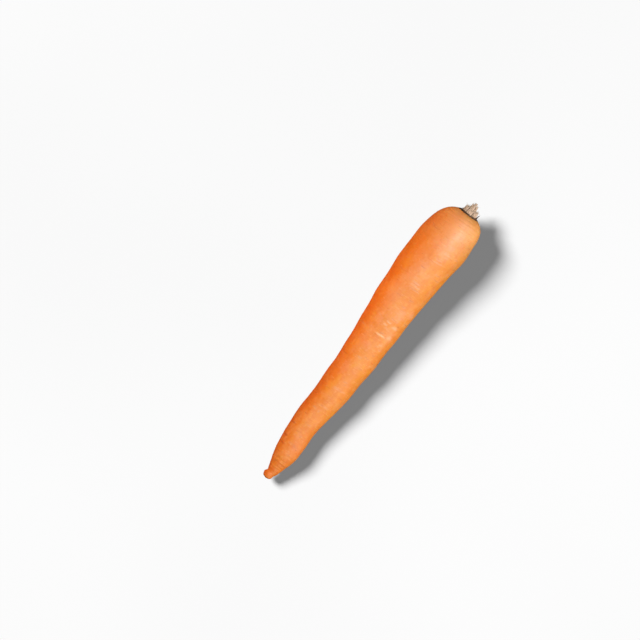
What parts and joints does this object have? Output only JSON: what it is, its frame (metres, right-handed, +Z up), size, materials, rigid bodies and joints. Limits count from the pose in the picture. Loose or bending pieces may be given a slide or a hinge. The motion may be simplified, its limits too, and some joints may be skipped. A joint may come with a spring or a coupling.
{
  "type": "carrot",
  "caption": "Trimmed orange carrot lying on its side: a tapering root with a rounded shoulder, a knobbed tip and cut leaf-stalk bases in the seat at its crown.",
  "frame": {"origin": "the middle of the carrot's box, on the surface that it rests on", "axes": "+Z up, +X along the root towards its crown, +Y to the left of someone who looks along +X with +Z up"},
  "size_m": [0.1934, 0.0314, 0.0309],
  "materials": {
    "carrot_skin": "satin orange root skin, smooth with fine pale cross scars",
    "dried_stalk": "matt, dry and fibrous, beige"
  },
  "bodies": {
    "root": {"taproot": "carrot_skin", "leaf_stalk_bases": "dried_stalk"}
  },
  "joints": []
}
